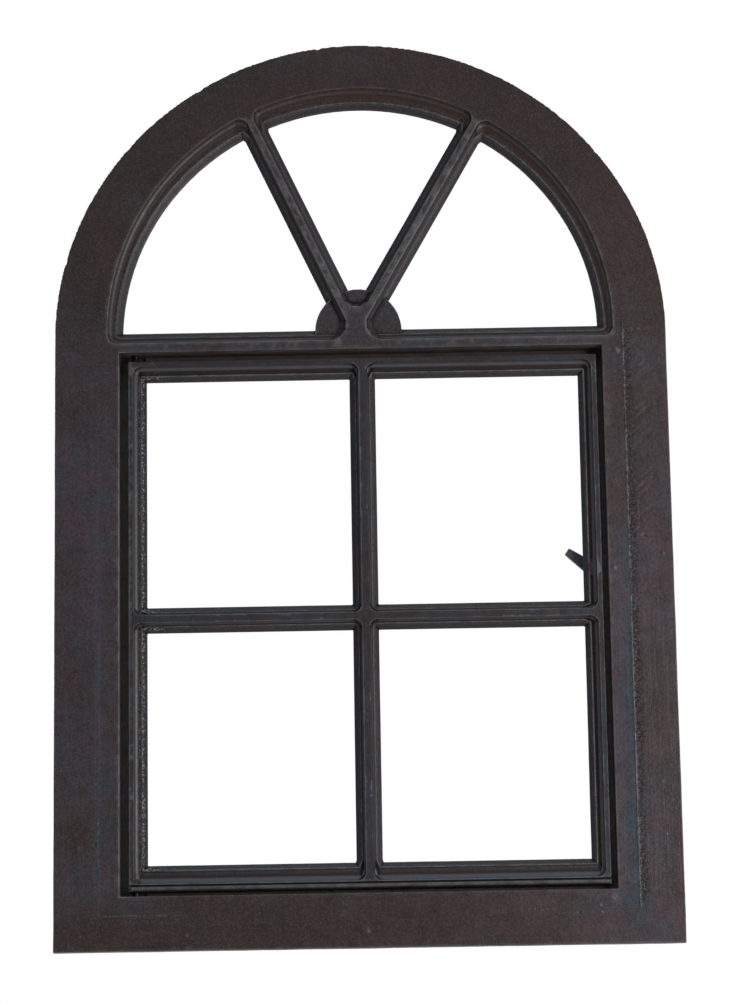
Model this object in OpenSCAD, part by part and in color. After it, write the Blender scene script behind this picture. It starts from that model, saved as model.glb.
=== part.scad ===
// Arched barn window: a cast frame with a fanlight above a hinged sash of four panes.
// The front looks toward -Y and +Z is up. The plane y = 0 is the back of the flange,
// z = 0 is the bottom edge and x = 0 is the middle of the frame.

/* [Frame] */
// overall width across the flange
frame_w = 510; // [380:1:700]
// height from the bottom edge to the spring of the arch
spring_h = 512.5; // [400:0.5:720]
// thickness of the flange at its raised rim
flange_t = 8; // [6:0.1:12]
// width of the raised rim along the sides and the arch
rim_w = 36; // [24:0.5:44]
// width of the raised rim along the bottom edge
rim_foot_w = 28.5; // [18:0.5:36]
// height of the rim above the band inside it
rim_step = 0.4; // [0.2:0.1:1]
// width of the flange beside the sash opening
jamb_w = 53.4; // [46:0.1:70]
// height of the flange below the sash opening
sill_h = 44.2; // [36:0.1:70]
// drop from the spring line to the top of the sash opening
head_drop = 12.2; // [8:0.1:20]
// depth of the reveal behind the flange
reveal_d = 26; // [24:0.5:40]
// thickness of the reveal beside the sash opening
reveal_t = 12.4; // [9:0.1:16]

/* [Fanlight] */
// radius of the arris where the arch moulding starts
arch_r = 211.3; // [160:0.1:290]
// height of that arris circle's centre above the springing
arris_rise = 6; // [3:0.1:7]
// distance between the arris and the pane edge at the springing
arch_side_w = 12.8; // [11.5:0.1:14]
// height of the pane edge circle's centre above the springing
arch_rise = 1.5; // [0:0.1:3]
// width of the cove along the arch
arch_cove_w = 7.5; // [4:0.1:10]
// width of the bevel along the arch
arch_bevel_w = 6.5; // [5:0.1:7.5]
// depth of the cove along the arch
arch_cove_d = 4.8; // [3:0.1:5.2]
// height of the flat transom face above the sash opening
transom_face = 8; // [6:0.1:14]
// width of the cove along the transom
transom_cove_w = 5.3; // [3:0.1:8]
// thickness of the transom web behind the fanlight
transom_web = 11.5; // [10.5:0.1:12]
// width of a fanlight bar from pane edge to pane edge
fan_bar_w = 21.6; // [20:0.1:26]
// width of the cove along a fanlight bar
fan_cove_w = 2.8; // [2:0.1:4]
// lean of the left fanlight bar from the vertical, in degrees
fan_lean_left = 24.8; // [20:0.1:34]
// lean of the right fanlight bar from the vertical, in degrees
fan_lean_right = 29.7; // [20:0.1:34]
// distance of the point where the bars meet, left of the middle
fan_root_off = 4; // [0:0.5:6]
// height of the point where the bars meet above the spring line
fan_root_rise = 3; // [0:0.5:6]
// radius of the web plate at the foot of the bars
hub_r = 36.2; // [28:0.1:44]
// distance of the web plate's centre left of the middle
hub_off = 1.4; // [0:0.1:4]
// height of the web plate's centre above the spring line
hub_rise = 4.5; // [2:0.5:8]
// drop of the web plate below the cove floor
hub_drop = 0.3; // [0.1:0.1:1]
// depth of the coves along the fanlight bars and the transom
fan_cove_d = 4.5; // [3:0.1:5]
// thickness of the fanlight lattice
fan_t = 13.5; // [12:0.1:16]
// corner radius of the fanlight moulding
fan_corner_r = 8; // [5:0.5:12]
// corner radius of the side lights at the foot of the bars
hub_side_r = 14; // [8:0.5:16]
// corner radius of the middle light at the foot of the bars
hub_corner_r = 13; // [8:0.5:16]

/* [Moulding] */
// width of the bevel between a cove and its pane edge
bevel_w = 5; // [3:0.1:6]
// depth of the bevel
bevel_d = 4; // [2:0.1:5]
// thickness of the land at a pane edge
land_t = 1; // [0.6:0.1:1.5]
// width of the glazing rebate behind a pane edge
rebate_w = 6; // [4:0.1:7]

/* [Sash] */
// gap between sash and frame on the hinge side
gap_hinge = 7.3; // [6:0.1:9]
// gap between sash and frame on the latch side
gap_latch = 5.2; // [4:0.1:7]
// gap between sash and frame at the head
gap_head = 6.7; // [5:0.1:8]
// gap between sash and frame at the sill
gap_sill = 4.8; // [4:0.1:7]
// distance of the sash face behind the frame face
sash_set = 6; // [4:0.1:8]
// thickness of the sash
sash_t = 12.5; // [11.5:0.1:15]
// width of the stiles
stile_w = 15.2; // [14:0.1:20]
// width of the top rail
head_rail_w = 16.3; // [14:0.1:20]
// width of the bottom rail
foot_rail_w = 21.8; // [20:0.1:28]
// width of a glazing bar from pane edge to pane edge
bar_w = 21.4; // [19:0.1:26]
// flat margin between the sash edge and its moulding
margin_w = 4; // [3:0.1:6]
// flat margin of the bottom rail, which carries the drip bead
foot_margin_w = 6; // [5:0.1:8]
// width of the cove along a glazing bar
bar_cove_w = 2.7; // [2:0.1:4]
// depth of the sash coves
sash_cove_d = 4; // [3:0.1:4.5]
// corner radius of the sash moulding
sash_corner_r = 7; // [4:0.5:10]
// radius of the drip bead on the bottom rail
bead_r = 1.8; // [1.2:0.1:1.9]
// distance of the bead ends from the sash edges
bead_end = 1.2; // [0.5:0.1:4]

/* [Stop] */
// thickness of the stop lip behind the sash
lip_t = 6; // [4:0.1:8]
// overlap of the stop lip behind the sash edges
lip_lap = 3.3; // [2:0.1:3.8]
// clearance between the closed sash and the stop lip
lip_gap = 0.3; // [0.2:0.1:0.6]
// clearance around the hinge heel of the sash as it swings
heel_gap = 0.6; // [0.4:0.1:1]

/* [Pivots] */
// radius of the pivot pins
pin_r = 3; // [2:0.1:3.2]
// distance of the pivot axis from the hinge edge of the sash
pin_edge = 5.5; // [4.5:0.1:6.5]
// distance of the pivot axis behind the sash face
pin_set = 7.2; // [6:0.1:8]
// depth of the pins in the sash
pin_seat = 10; // [7:0.1:12]
// running clearance around the pins in the frame
pin_gap = 0.1; // [0.05:0.01:0.1]
// length of the upper pin in the frame head
pin_head_l = 4.6; // [3.6:0.1:5]
// depth of the upper hole in the frame head
head_hole_l = 8.8; // [8.2:0.1:9.6]
// length of the lower pin in the frame sill
pin_sill_l = 4; // [3:0.1:5]
// clearance below the lower pin
pin_foot_gap = 0.1; // [0.1:0.05:0.3]

/* [Latch] */
// height of the latch pivot above the bottom edge
latch_h = 312.5; // [250:0.5:370]
// distance of the latch pivot from the latch edge of the sash
latch_edge = 5; // [4.6:0.1:5.4]
// radius of the boss on the back of the stile
boss_r = 4.2; // [3.8:0.1:4.5]
// thickness of the latch lever
lever_t = 4; // [3:0.1:5]
// radius of the lever hub
lever_hub_r = 5; // [4.6:0.1:5.5]
// length of the lever handle from the pivot
handle_l = 28.3; // [20:0.1:34]
// width of the handle at the hub
handle_root_w = 12; // [10:0.1:12.4]
// width of the handle at its tip
handle_tip_w = 6.2; // [5:0.1:9]
// direction of the handle from the latch side, in degrees
handle_dir = 143.4; // [130:0.1:150]
// angle from the handle to the nose, in degrees
nose_dir = 114; // [104:0.5:120]
// length of the lever nose from the pivot
nose_l = 9; // [8.6:0.1:9.2]
// width of the nose at the hub
nose_root_w = 8; // [6:0.1:9]
// width of the nose at its tip
nose_tip_w = 4; // [3:0.1:5]
// running clearance of the lever over the stop lip
lever_gap = 0.3; // [0.2:0.05:0.5]
// gap between the lever hub and the notch in the stop lip
notch_gap = 0.5; // [0.4:0.1:1]
// height of the notch above and below the latch pivot
notch_h = 11.5; // [11:0.1:15]
// radius of the latch screw
screw_r = 2.5; // [1.8:0.1:2.7]
// running clearance of the lever around the screw
screw_gap = 0.1; // [0.05:0.01:0.1]
// depth of the screw in the boss
screw_seat = 6; // [4:0.1:8]
// radius of the screw head
screw_head_r = 4.4; // [4:0.1:4.7]
// height of the screw head
screw_head_t = 2.4; // [1.6:0.1:3]
// width of the screw slot
slot_w = 1.2; // [0.8:0.1:1.6]
// depth of the screw slot
slot_d = 1.2; // [0.6:0.1:1.5]
// radius of the washer
washer_r = 4.8; // [4.5:0.1:5]
// thickness of the washer
washer_t = 1; // [0.6:0.1:1.4]
// end play between lever, boss and washer
end_play = 0.05; // [0.05:0.05:0.2]

/* [Hidden] */
// fine circles
$fn = 96;
// degrees in a quarter turn
quarter = 90;
// degrees in a full turn
full = 360;
// flat steps across each straight cove
cove_steps = 6;
// steps across the revolved cove under the arch
arch_steps = 7;
// flat steps around each moulding corner
corner_steps = 3;
// steps around each end of the drip bead
bead_steps = 5;
// overrun of every cut, as a share of the flange
overrun_share = 0.1;
overrun = flange_t * overrun_share;
// share of the arch cove's depth by which the bevel's cut runs on into the cove
run_on_share = 0.25;

// frame outline and faces
outer_r = frame_w / 2;
frame_h = spring_h + outer_r;
face = flange_t - rim_step;
open_x = outer_r - jamb_w;
open_top = spring_h - head_drop;
open_h = open_top - sill_h;
arch_c = [0, spring_h];
arris_c = [0, spring_h + arris_rise];
light_c = [0, spring_h + arch_rise];

// fanlight lines
pane_r = arch_r - arch_side_w;
bevel_top = arch_cove_d * (run_on_share - 1);
bevel_top_r = pane_r + arch_bevel_w * (bevel_top + arch_cove_d + bevel_d) / bevel_d;
transom_z = open_top + transom_face;
fan_flat = fan_bar_w - 2 * (fan_cove_w + bevel_w);
fan_root = [-fan_root_off, spring_h + fan_root_rise];
left_dir = quarter + fan_lean_left;
right_dir = quarter - fan_lean_right;
rebate_z = fan_cove_d + bevel_d + land_t;
cut_depth = flange_t + reveal_d + overrun;
web_top = open_top + transom_web;
reveal_r = open_x + reveal_t;
fan_back_r = pane_r + (reveal_r - pane_r + rebate_w) / 2;

// sash edges, pane edges and faces
sash_x0 = gap_hinge - open_x;
sash_x1 = open_x - gap_latch;
sash_z0 = sill_h + gap_sill;
sash_z1 = open_top - gap_head;
sash_face = face - sash_set;
sash_back = sash_face - sash_t;
pane_w = (sash_x1 - sash_x0 - 2 * stile_w - bar_w) / 2;
pane_h = (sash_z1 - sash_z0 - head_rail_w - foot_rail_w - bar_w) / 2;
stile_cove_w = stile_w - margin_w - bevel_w;
head_cove_w = head_rail_w - margin_w - bevel_w;
foot_cove_w = foot_rail_w - foot_margin_w - bevel_w;
bead_l = sash_x1 - sash_x0 - 2 * bead_end;

// stop lip
lip_front = sash_back - lip_gap;
lip_back = lip_front - lip_t;
lip_x0 = sash_x0 + lip_lap;
lip_x1 = sash_x1 - lip_lap;
lip_z0 = sash_z0 + lip_lap;
lip_z1 = sash_z1 - lip_lap;

// pivots and latch
pin_x = sash_x0 + pin_edge;
pin_face = sash_face - pin_set;
heel_r = sqrt(pow(pin_edge, 2) + pow(sash_t - pin_set, 2)) + heel_gap;
latch_x = sash_x1 - latch_edge;
lever_front = lip_back - lever_gap;
lever_back = lever_front - lever_t;
washer_front = lever_back - end_play;
washer_back = washer_front - washer_t;
boss_end = lever_front + end_play;

function unit(a) = [cos(a), sin(a)];

// the same direction as b, raised by full turns until it is not below a
function turn(b, a) = b + full * ceil((a - b) / full);

// the point whose reaches along the directions a and b are m and n
function meet(a, m, b, n) =
    [m * sin(b) - n * sin(a), n * cos(a) - m * cos(b)] / sin(b - a);

// A pane side is [inward direction, reach of its arris, cove width]. A rounded
// corner adds sides that touch a circle of radius r around c.
function round_sides(a, b, c, r, w) = [
    for (k = [1 : corner_steps])
        let (t = a + (b - a) * k / (corner_steps + 1))
            [t, c * unit(t) - r, w]
];

function corner(s, t, r) =
    round_sides(s[0], t[0], meet(s[0], s[1] + r, t[0], t[1] + r), r, (s[2] + t[2]) / 2);

// width of the arch moulding where the direction to its centre is b
function arch_gap(b) = arch_side_w - (arris_rise - arch_rise) * sin(b);

// corner circle centre between a straight side and the arch, before or after it
function arch_point(s, r, way) =
    let (m = s[1] + r - arris_c * unit(s[0]))
        arris_c + m * unit(s[0])
            + way * sqrt(pow(arch_r - r, 2) - m * m) * unit(s[0] - quarter);

function arch_corner(s, r, way) =
    let (c = arch_point(s, r, way), v = arris_c - c, b = atan2(v[1], v[0]))
        let (w = (s[2] + arch_gap(b) - bevel_w) / 2)
            way > 0
                ? round_sides(s[0], turn(b, s[0]), c, r, w)
                : round_sides(b, turn(s[0], b), c, r, w);

// hollow curve from an arris down to the cove's inner edge
function cove_line(w, d, n) = [
    for (i = [0 : n])
        let (a = quarter * i / n)
            [w * (1 - cos(a)), -d * sin(a)]
];

// what a moulded side removes: cove, bevel and the whole depth inside the pane edge
function moulded_section(w, d) = concat(
    [[0, overrun]],
    cove_line(w, d, cove_steps),
    [
        [w + bevel_w, -d - bevel_d],
        [w + bevel_w, -cut_depth],
        [frame_h, -cut_depth],
        [frame_h, overrun]
    ]
);

// what the rebate behind a side removes
function rebate_section(w) = [
    [w + bevel_w - rebate_w, -rebate_z],
    [frame_h, -rebate_z],
    [frame_h, -cut_depth],
    [w + bevel_w - rebate_w, -cut_depth]
];

function bar_side(dir, w, flat) = [dir, fan_root * unit(dir) + flat / 2, w];

foot_side = [quarter, transom_z, transom_cove_w];
left_bar = bar_side(left_dir + quarter, fan_cove_w, fan_flat);
mid_left_bar = bar_side(left_dir - quarter, fan_cove_w, fan_flat);
mid_right_bar = bar_side(right_dir + quarter, fan_cove_w, fan_flat);
right_bar = bar_side(right_dir - quarter, fan_cove_w, fan_flat);

fan_lights = [[foot_side, left_bar], [mid_left_bar, mid_right_bar], [foot_side, right_bar]];
fan_rounds = [
    concat(
        corner(foot_side, left_bar, hub_side_r),
        arch_corner(left_bar, fan_corner_r, 1),
        arch_corner(foot_side, fan_corner_r, -1)
    ),
    concat(
        corner(mid_left_bar, mid_right_bar, hub_corner_r),
        arch_corner(mid_right_bar, fan_corner_r, 1),
        arch_corner(mid_left_bar, fan_corner_r, -1)
    ),
    concat(
        corner(right_bar, foot_side, hub_side_r),
        arch_corner(foot_side, fan_corner_r, 1),
        arch_corner(right_bar, fan_corner_r, -1)
    )
];

// sash pane by column and row: its four sides and their rounded corners
function pane_x(i) = sash_x0 + stile_w + i * (pane_w + bar_w);
function pane_z(j) = sash_z0 + foot_rail_w + j * (pane_h + bar_w);
function pane_sides(i, j) =
    let (
        wl = i == 0 ? stile_cove_w : bar_cove_w,
        wr = i == 0 ? bar_cove_w : stile_cove_w,
        wb = j == 0 ? foot_cove_w : bar_cove_w,
        wt = j == 0 ? bar_cove_w : head_cove_w
    ) [
        [0, pane_x(i) - bevel_w - wl, wl],
        [quarter, pane_z(j) - bevel_w - wb, wb],
        [2 * quarter, -pane_x(i) - pane_w - bevel_w - wr, wr],
        [3 * quarter, -pane_z(j) - pane_h - bevel_w - wt, wt],
        [full, pane_x(i) - bevel_w - wl, wl]
    ];
function pane_rounds(s) = [for (k = [0 : 3]) each corner(s[k], s[k + 1], sash_corner_r)];

module side_prism(side, section)
    rotate([0, 0, side[0]])
        translate([side[1], 0, 0])
            rotate([quarter, 0, 0])
                linear_extrude(height = 2 * frame_h, center = true)
                    polygon(section);

// material removed inside all the given sides, the drawing plane being the face
module moulded_light(sides, d)
    intersection_for (s = sides)
        side_prism(s, moulded_section(s[2], d));

module rebate_light(sides)
    intersection_for (s = sides)
        side_prism(s, rebate_section(s[2]));

module revolved(c, section)
    translate(c)
        rotate([0, 0, -quarter])
            rotate_extrude()
                polygon(section);

// material removed under the arch: a cove that widens to the top, then bevel and pane
module arch_light()
    union() {
        revolved(arris_c, concat(
            [[0, overrun], [arch_r, overrun]],
            [for (p = cove_line(arch_cove_w, arch_cove_d, arch_steps)) [arch_r - p[0], p[1]]],
            [[0, -arch_cove_d]]
        ));
        revolved(light_c, [
            [0, bevel_top],
            [bevel_top_r, bevel_top],
            [pane_r, -arch_cove_d - bevel_d],
            [pane_r, -cut_depth],
            [0, -cut_depth]
        ]);
    }

// web plate that stays at the foot of the fanlight bars, just below the cove floor
module hub_plate()
    translate([-hub_off, spring_h + hub_rise, -cut_depth])
        rotate([0, 0, -quarter])
            cylinder(r = hub_r, h = cut_depth - fan_cove_d - hub_drop);

module fan_light(k) {
    difference() {
        intersection() {
            arch_light();
            moulded_light(concat(fan_lights[k], fan_rounds[k]), fan_cove_d);
        }
        hub_plate();
    }
    intersection() {
        translate(concat(light_c, -cut_depth))
            rotate([0, 0, -quarter])
                cylinder(r = pane_r + rebate_w, h = cut_depth - rebate_z);
        rebate_light(fan_lights[k]);
    }
}

module sash_light(i, j) {
    sides = pane_sides(i, j);
    moulded_light(concat(sides, pane_rounds(sides)), sash_cove_d);
    translate([pane_x(i) - rebate_w, pane_z(j) - rebate_w, -cut_depth])
        cube([
            pane_w + 2 * rebate_w,
            pane_h + 2 * rebate_w,
            cut_depth - sash_cove_d - bevel_d - land_t
        ]);
}

// arched outline with its foot at a height, from a depth up to a face
module arched_body(r, foot, low, high)
    translate([0, 0, low]) {
        translate([-r, foot, 0])
            cube([2 * r, spring_h - foot, high - low]);
        translate(arch_c)
            linear_extrude(height = high - low)
                intersection() {
                    circle(r = r);
                    translate([-2 * r, 0])
                        square([4 * r, 2 * r]);
                }
    }

module block(x0, x1, z0, z1, low, high)
    translate([x0, z0, low])
        cube([x1 - x0, z1 - z0, high - low]);

// the front of the window is drawn face up and then stood upright
module stand()
    rotate([quarter, 0, 0])
        children();

module pin_hole(z, l, r)
    translate([pin_x, z, pin_face])
        rotate([-quarter, 0, 0])
            cylinder(r = r, h = l);

module frame_openings() {
    // sash opening in front of the lip, through the lip and behind it
    block(-open_x, open_x, sill_h, open_top, lip_front, flange_t + overrun);
    block(lip_x0, lip_x1, lip_z0, lip_z1, lip_back - overrun, flange_t);
    block(-open_x, open_x, sill_h, open_top, -reveal_d - overrun, lip_back);
    // room for the sash heel beside the hinge
    block(-open_x, pin_x + heel_r, sill_h, open_top, pin_face - heel_r, flange_t);
    // notch in the lip for the latch hub
    block(
        lip_x0, latch_x + lever_hub_r + notch_gap,
        latch_h - notch_h, latch_h + notch_h,
        lip_back - overrun, flange_t
    );
    // pivot holes in head and sill
    pin_hole(open_top - overrun, head_hole_l + overrun, pin_r + pin_gap);
    pin_hole(
        sill_h - pin_sill_l - pin_foot_gap,
        pin_sill_l + pin_foot_gap + overrun,
        pin_r + pin_gap
    );
}

module frame_body()
    difference() {
        union() {
            arched_body(outer_r, 0, 0, flange_t);
            arched_body(reveal_r, sill_h - reveal_t, -reveal_d, flange_t / 2);
        }
        // band inside the raised rim
        arched_body(outer_r - rim_w, rim_foot_w, face, flange_t + overrun);
        // space behind the fanlight
        intersection() {
            translate([0, spring_h, -reveal_d - overrun])
                rotate([0, 0, -quarter])
                    cylinder(r = fan_back_r, h = reveal_d + overrun + face - fan_t);
            block(-outer_r, outer_r, web_top, frame_h, -cut_depth, face - fan_t);
        }
        frame_openings();
        translate([0, 0, face])
            for (k = [0 : len(fan_lights) - 1])
                fan_light(k);
    }

module outer_frame()
    color([0.16, 0.11, 0.10])
        stand()
            frame_body();

module drip_bead()
    translate([sash_x0 + bead_end, sash_z0 + margin_w / 2, sash_face])
        rotate([0, quarter, 0])
            rotate_extrude()
                polygon(concat(
                    [for (i = [0 : bead_steps])
                        let (a = quarter * i / bead_steps)
                            [bead_r * sin(a), bead_r * (1 - cos(a))]],
                    [for (i = [bead_steps : -1 : 0])
                        let (a = quarter * i / bead_steps)
                            [bead_r * sin(a), bead_l - bead_r * (1 - cos(a))]]
                ));

module sash_body()
    difference() {
        union() {
            difference() {
                block(sash_x0, sash_x1, sash_z0, sash_z1, sash_back, sash_face);
                translate([0, 0, sash_face])
                    for (i = [0 : 1])
                        for (j = [0 : 1])
                            sash_light(i, j);
            }
            drip_bead();
            translate([latch_x, latch_h, boss_end])
                cylinder(r = boss_r, h = sash_back - boss_end + bevel_d);
        }
        pin_hole(sash_z1 - pin_seat, pin_seat + overrun, pin_r);
        pin_hole(sash_z0 - overrun, pin_seat + overrun, pin_r);
        translate([latch_x, latch_h, boss_end - overrun])
            cylinder(r = screw_r, h = screw_seat + overrun);
    }

module sash()
    color([0.14, 0.10, 0.09])
        stand()
            sash_body();

module upper_pivot_pin()
    color([0.30, 0.29, 0.28])
        stand()
            pin_hole(sash_z1 - pin_seat, pin_seat + gap_head + pin_head_l, pin_r);

module lower_pivot_pin()
    color([0.30, 0.29, 0.28])
        stand()
            pin_hole(sill_h - pin_sill_l, pin_sill_l + gap_sill + pin_seat, pin_r);

// tapered arm of the lever from the pivot
module lever_arm(l, root, tip)
    polygon([[0, -root / 2], [l, -tip / 2], [l, tip / 2], [0, root / 2]]);

module lever_body()
    translate([latch_x, latch_h, lever_back])
        rotate([0, 0, handle_dir])
            linear_extrude(height = lever_t)
                difference() {
                    union() {
                        circle(r = lever_hub_r);
                        lever_arm(handle_l, handle_root_w, handle_tip_w);
                        rotate(nose_dir)
                            lever_arm(nose_l, nose_root_w, nose_tip_w);
                    }
                    circle(r = screw_r + screw_gap);
                }

module latch_lever()
    color([0.12, 0.09, 0.08])
        stand()
            lever_body();

module screw_body()
    translate([latch_x, latch_h, 0])
        difference() {
            union() {
                translate([0, 0, washer_back])
                    cylinder(r = screw_r, h = boss_end - washer_back + screw_seat);
                translate([0, 0, washer_back - screw_head_t])
                    cylinder(r = screw_head_r, h = screw_head_t);
            }
            translate([-screw_head_r, -slot_w / 2, washer_back - screw_head_t - overrun])
                cube([2 * screw_head_r, slot_w, slot_d + overrun]);
        }

module latch_screw()
    color([0.30, 0.28, 0.26])
        stand()
            screw_body();

module washer_body()
    translate([latch_x, latch_h, washer_back])
        difference() {
            cylinder(r = washer_r, h = washer_t);
            translate([0, 0, -overrun])
                cylinder(r = screw_r, h = washer_t + 2 * overrun);
        }

module latch_washer()
    color([0.34, 0.32, 0.30])
        stand()
            washer_body();

outer_frame();
sash();
upper_pivot_pin();
lower_pivot_pin();
latch_lever();
latch_screw();
latch_washer();
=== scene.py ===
"""Looks of the barn window: sand-cast iron with brushed dark brown paint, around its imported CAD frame."""

import math

import bmesh
import bpy
import numpy as np
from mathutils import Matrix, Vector
from mathutils.kdtree import KDTree


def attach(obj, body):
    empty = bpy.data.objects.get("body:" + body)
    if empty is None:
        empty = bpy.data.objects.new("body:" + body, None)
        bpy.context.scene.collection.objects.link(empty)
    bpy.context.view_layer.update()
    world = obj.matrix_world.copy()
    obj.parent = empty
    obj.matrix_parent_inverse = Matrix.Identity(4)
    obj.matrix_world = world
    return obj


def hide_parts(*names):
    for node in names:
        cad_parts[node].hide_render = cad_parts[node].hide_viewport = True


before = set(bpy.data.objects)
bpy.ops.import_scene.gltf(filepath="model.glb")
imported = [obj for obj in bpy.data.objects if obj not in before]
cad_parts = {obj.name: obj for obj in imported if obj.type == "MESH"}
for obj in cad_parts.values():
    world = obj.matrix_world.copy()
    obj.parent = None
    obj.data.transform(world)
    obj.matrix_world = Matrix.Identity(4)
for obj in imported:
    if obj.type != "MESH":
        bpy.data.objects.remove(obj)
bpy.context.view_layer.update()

# ---------------------------------------------------------------- sizes, mm
MM = 0.001
SPRING = 512.5  # height of the arch's centre
RIM = 219.0  # inner edge of the raised rim, from the middle or the arch's centre
RIM_FOOT = 28.5  # the same edge above the bottom
OUTER = 255.0  # outer edge
FLANGE_MIDDLE = 234.0  # radius along the middle of the arch's flange
FACE = -7.6  # y of the band inside the rim
RECESS = (201.6, 44.2, 500.3)  # half width, foot and head of the opening that the sash stands in
TRANSOM = (508, 13, 200)  # middle height, half height and half width of the transom's face
FAN_FOOT = (500, 506)  # heights between which the fanlight's moulding begins
FAN_BEVEL = (-3.4, 1.4)  # y from the cove floor to the pane edge in the fanlight
FAN_GROOVE = -2.9  # y of the groove in its coves
SASH_FACE = -1.6  # y of the sash's face
SASH_BEVEL = (2.2, 6.6)  # y of its bevels, as in the fanlight
SASH_GROOVE = 2.4  # y of the groove in its coves
DRIP_GROOVE = 53.9  # height of the groove above the drip bead
SASH_X = (-194.3, -179.1, -9.65, 11.75, 181.2, 196.4)  # stile, bar and stile edges
SASH_Z = (49.0, 70.8, 263.35, 284.75, 477.3, 493.6)  # rail, bar and rail edges
PIN = (-188.8, 5.6)  # x, y of the hinge line
LATCH = (191.4, 312.5)  # x, z of the latch pivot

# ---------------------------------------------------------------- flaws of the frame, mm
PIMPLES = (  # x, z, radius, height: drips and sand specks under the paint, and one pit
    (205.9, 309.7, 1.8, 0.8),
    (213.2, 495.8, 2.4, 1.6),
    (-4.3, 14.1, 3.0, 0.9),
    (-1.6, 12.6, 2.0, 0.6),
    (-246.5, 17.0, 1.1, 0.5),
    (-233.0, 12.0, 1.2, 0.5),
    (-147.0, 11.5, 1.5, 0.6),
    (-249.0, 148.0, 1.1, 0.4),
    (-237.0, 96.0, 1.4, 0.5),
    (-235.0, 84.0, 1.6, 0.5),
    (196.0, 37.0, 3.6, 0.7),
    (239.5, 131.0, 1.3, 0.5),
    (241.0, 88.0, 1.1, 0.5),
    (246.5, 321.0, 1.2, 0.5),
    (128.0, 28.2, 1.0, 0.4),
    (133.0, 28.7, 0.9, 0.4),
    (138.5, 28.0, 1.0, 0.4),
    (143.0, 28.5, 0.9, 0.35),
    (148.0, 28.1, 1.0, 0.4),
    (169.0, 25.5, 1.2, -0.5),
    (187.0, 25.5, 1.3, 0.6),
    (186.0, 31.0, 1.2, 0.5),
)
NICKS = (  # in the arch's outer edge: angle in degrees, depth
    (164.7, 1.4),
    (121.5, 1.0),
    (97.2, 1.0),
    (139.0, 0.5),
    (38.0, 0.5),
)
SEAM = ((220, 512.5), (244, 515.0))  # ends in x and z of a seam across the rim at the springing
SCAR = ((231.5, 336.5), (240, 329))  # of a scar on the right jamb
PIT_ROW = ((229, 366), (228, 332))  # and of a row of pits beside it

# ---------------------------------------------------------------- colours, linear
DARK = (0.0200, 0.0114, 0.0106)
WARM = (0.0370, 0.0180, 0.0136)
PLUM = (0.0550, 0.0320, 0.0425)
SLATE = (0.0290, 0.0370, 0.0510)
EDGE = (0.076, 0.066, 0.068)
RUST = (0.044, 0.021, 0.012)
# for the gap: dust, and painted fill light
DUST_AND_FILL_LIGHT = (0.125, 0.108, 0.100)
# colour of painted highlights: glints on the bevels, the arrises, the recess edge and the rim's line
GLINT = (0.27, 0.26, 0.25)
# near black for the steel's hollows: oil, and painted shade
OIL_AND_SHADE = (0.012, 0.010, 0.009)
FLOOR_TONES = ((0.82, 0.75, 0.69), (0.88, 0.81, 0.75))
DOME_COLOUR = (0.78, 0.91, 1.0)
LAMP_COLOUR = (1.0, 0.97, 0.95)

# ---------------------------------------------------------------- meshing
SHARP = math.radians(28)  # a larger angle between faces is an arris
WELD = 1e-7  # m, points closer than this are one
EDGE_STEP = 0.25  # mm between the points that stand for an arris
SNAP = 0.6  # reach of an arris for points near it, in voxels


# ---------------------------------------------------------------- numbers over points
def ramp(v, a, b):
    """0 at a, 1 at b, smooth between them, also where a is above b."""
    t = np.clip((v - a) / (b - a), 0, 1)
    return t * t * (3 - 2 * t)


def bell(v, width):
    return np.exp(-((v / width) ** 2))


def lattice(cell, seed):
    """A fixed number from -1 to 1 for each whole-number cell."""
    h = (cell @ np.array([374761393, 668265263, 1274126177]) + seed * 974634621) & 0xFFFFFFFF
    h = ((h ^ (h >> 13)) * 1274126177) & 0xFFFFFFFF
    return (h ^ (h >> 16)) / 0x7FFFFFFF - 1


def noise(p, size, seed):
    """Smooth noise from -1 to 1 with features of that size in mm, one number or one for each axis."""
    q = p / np.broadcast_to(np.asarray(size, float), (3,))
    base = np.floor(q).astype(np.int64)
    f = q - base
    f = f * f * (3 - 2 * f)
    out = np.zeros(len(p))
    for k in range(8):
        corner = np.array([k & 1, k >> 1 & 1, k >> 2 & 1])
        out += np.prod(np.where(corner, f, 1 - f), axis=1) * lattice(base + corner, seed)
    return out


# ---------------------------------------------------------------- meshes
def points_of(mesh, what="co"):
    out = np.empty(len(mesh.vertices) * 3, np.float32)
    mesh.vertices.foreach_get(what, out)
    return out.reshape(-1, 3).astype(float)


def put_points(mesh, co):
    mesh.vertices.foreach_set("co", co.astype(np.float32).ravel())
    mesh.update()


def edges_of(mesh):
    out = np.empty(len(mesh.edges) * 2, np.int32)
    mesh.edges.foreach_get("vertices", out)
    return out.reshape(-1, 2)


def triangles_of(mesh):
    mesh.calc_loop_triangles()
    out = np.empty(len(mesh.loop_triangles) * 3, np.int32)
    mesh.loop_triangles.foreach_get("vertices", out)
    return out.reshape(-1, 3)


def neighbour_mean(co, edges):
    a, b = edges.T
    count = np.bincount(edges.ravel(), minlength=len(co))
    cols = [np.bincount(a, v[b], len(co)) + np.bincount(b, v[a], len(co)) for v in co.T]
    return np.stack(cols, axis=1) / np.maximum(count, 1)[:, None]


def relax(co, edges, rounds, share):
    for _ in range(rounds):
        co = co + share * (neighbour_mean(co, edges) - co)
    return co


def new_object(name, data):
    obj = bpy.data.objects.new(name, data)
    bpy.context.scene.collection.objects.link(obj)
    return obj


def modified(obj, kind, **settings):
    """The object's mesh with one modifier applied, as a new mesh."""
    modifier = obj.modifiers.new(kind, kind)
    for key, value in settings.items():
        setattr(modifier, key, value)
    made = bpy.data.meshes.new_from_object(obj.evaluated_get(bpy.context.evaluated_depsgraph_get()))
    obj.modifiers.remove(modifier)
    return made


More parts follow.
